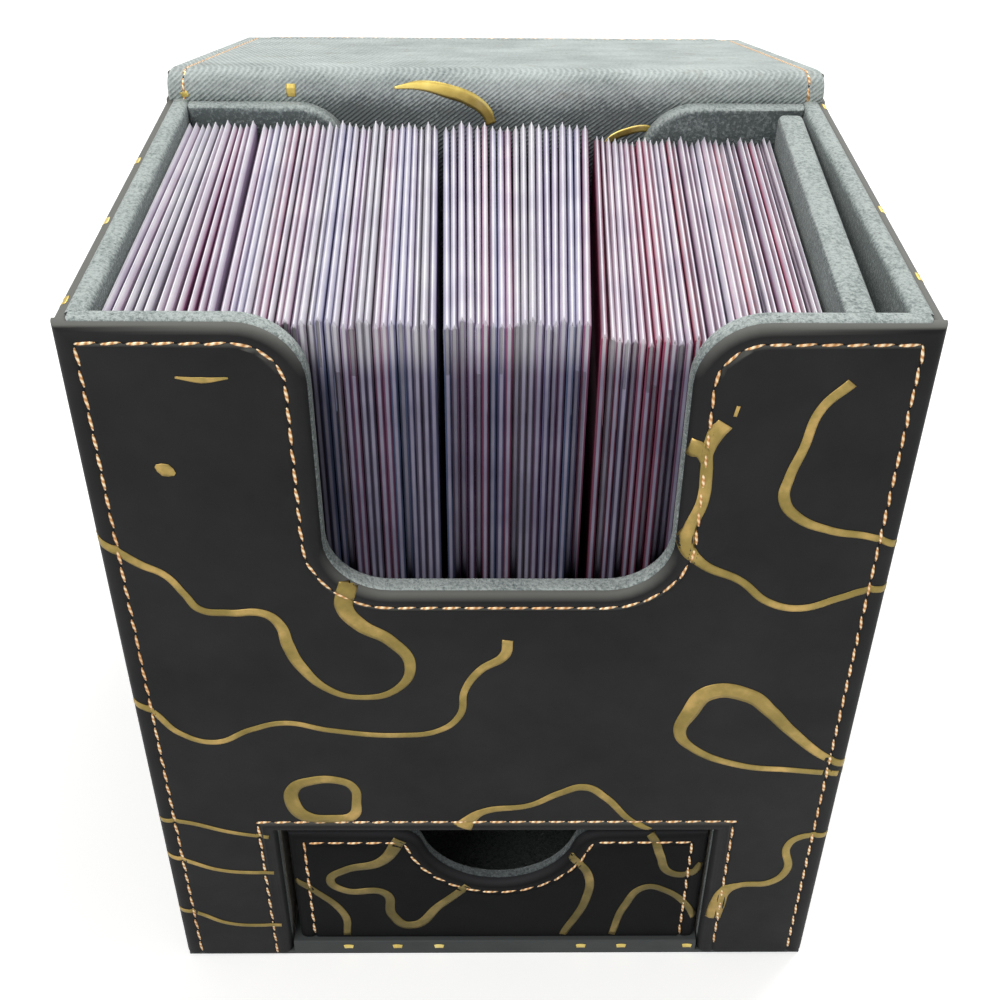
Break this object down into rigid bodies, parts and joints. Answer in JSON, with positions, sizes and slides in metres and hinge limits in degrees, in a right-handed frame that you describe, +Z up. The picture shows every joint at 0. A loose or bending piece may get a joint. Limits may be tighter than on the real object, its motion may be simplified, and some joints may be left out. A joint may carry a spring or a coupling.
{
  "type": "trading card drawer box",
  "caption": "Leather-covered card box with a fold-back lid and magnetic front flap, dipped front wall, shallow bottom drawer, loose divider and standing runs of sleeved cards.",
  "frame": {"origin": "middle of the case's base, on the surface it stands on", "axes": "+X to the box's right seen from the front, -Y towards the dipped front wall and the drawer's pull, +Z up"},
  "size_m": [0.11, 0.1594, 0.1325],
  "materials": {
    "black_leather": "matte fine grain with worn gold foil line print and gold-brown stitching",
    "greyboard": "raw dense paperboard, hidden inside the wraps",
    "microfibre_lining": "short-napped grey-green microfibre",
    "printed_skin": "thin twill-grained grey-green skin with faint brown-gold line print",
    "magnet": "plain nickel disc",
    "sleeved_card": "clear glossy sleeves over printed card edges"
  },
  "bodies": {
    "case": {"back_cover_board": "greyboard", "back_cover_leather": "black_leather", "back_cover_skin": "printed_skin", "back_wall_board": "greyboard", "back_wall_lining": "microfibre_lining", "base_board": "greyboard", "base_leather": "black_leather", "bay_floor_lining": "microfibre_lining", "case_magnets": "magnet", "front_board": "greyboard", "front_leather": "black_leather", "front_lining": "microfibre_lining", "left_board": "greyboard", "left_drawer_guide": "greyboard", "left_leather": "black_leather", "left_lining": "microfibre_lining", "right_board": "greyboard", "right_drawer_guide": "greyboard", "right_leather": "black_leather", "right_lining": "microfibre_lining", "shelf_board": "greyboard", "shelf_lining": "microfibre_lining", "lid_hinge_skin": "printed_skin", "lid_hinge_leather": "black_leather"},
    "lid": {"lid_board": "greyboard", "lid_leather": "black_leather", "lid_skin": "printed_skin", "flap_hinge_skin": "printed_skin", "flap_hinge_leather": "black_leather"},
    "flap": {"flap_board": "greyboard", "flap_leather": "black_leather", "flap_skin": "printed_skin", "flap_magnets": "magnet"},
    "drawer": {"drawer_back_board": "greyboard", "drawer_floor_board": "greyboard", "drawer_front_board": "greyboard", "drawer_front_leather": "black_leather", "drawer_front_lining": "microfibre_lining", "drawer_left_board": "greyboard", "drawer_lining": "microfibre_lining", "drawer_right_board": "greyboard", "drawer_wrap": "black_leather"},
    "divider": {"divider_board": "greyboard", "divider_lining": "microfibre_lining"},
    "left_cards": {"left_cards": "sleeved_card"},
    "left_middle_cards": {"left_middle_cards": "sleeved_card"},
    "right_middle_cards": {"right_middle_cards": "sleeved_card"},
    "right_cards": {"right_cards": "sleeved_card"}
  },
  "joints": [
    {"name": "lid_hinge", "type": "hinge", "parent": "case", "child": "lid", "pos_m": [0, 0.0395, 0.1308], "axis": [-1, 0, 0], "range_deg": [-194.4, 18], "deforming": ["lid_hinge_skin", "lid_hinge_leather"]},
    {"name": "flap_hinge", "type": "hinge", "parent": "lid", "child": "flap", "pos_m": [0, 0.11796, 0.11066], "axis": [-1, 0, 0], "range_deg": [-165.6, 10], "deforming": ["flap_hinge_skin", "flap_hinge_leather"]},
    {"name": "drawer_slide", "type": "slide", "parent": "case", "child": "drawer", "axis": [0, -1, 0], "range_m": [0, 0.062]},
    {"name": "divider_lift", "type": "slide", "parent": "case", "child": "divider", "axis": [0, 0, 1], "range_m": [0, 0.095]},
    {"name": "left_cards_lift", "type": "slide", "parent": "case", "child": "left_cards", "axis": [0, 0, 1], "range_m": [0, 0.095]},
    {"name": "left_middle_cards_lift", "type": "slide", "parent": "case", "child": "left_middle_cards", "axis": [0, 0, 1], "range_m": [0, 0.095]},
    {"name": "right_middle_cards_lift", "type": "slide", "parent": "case", "child": "right_middle_cards", "axis": [0, 0, 1], "range_m": [0, 0.095]},
    {"name": "right_cards_lift", "type": "slide", "parent": "case", "child": "right_cards", "axis": [0, 0, 1], "range_m": [0, 0.095]}
  ]
}
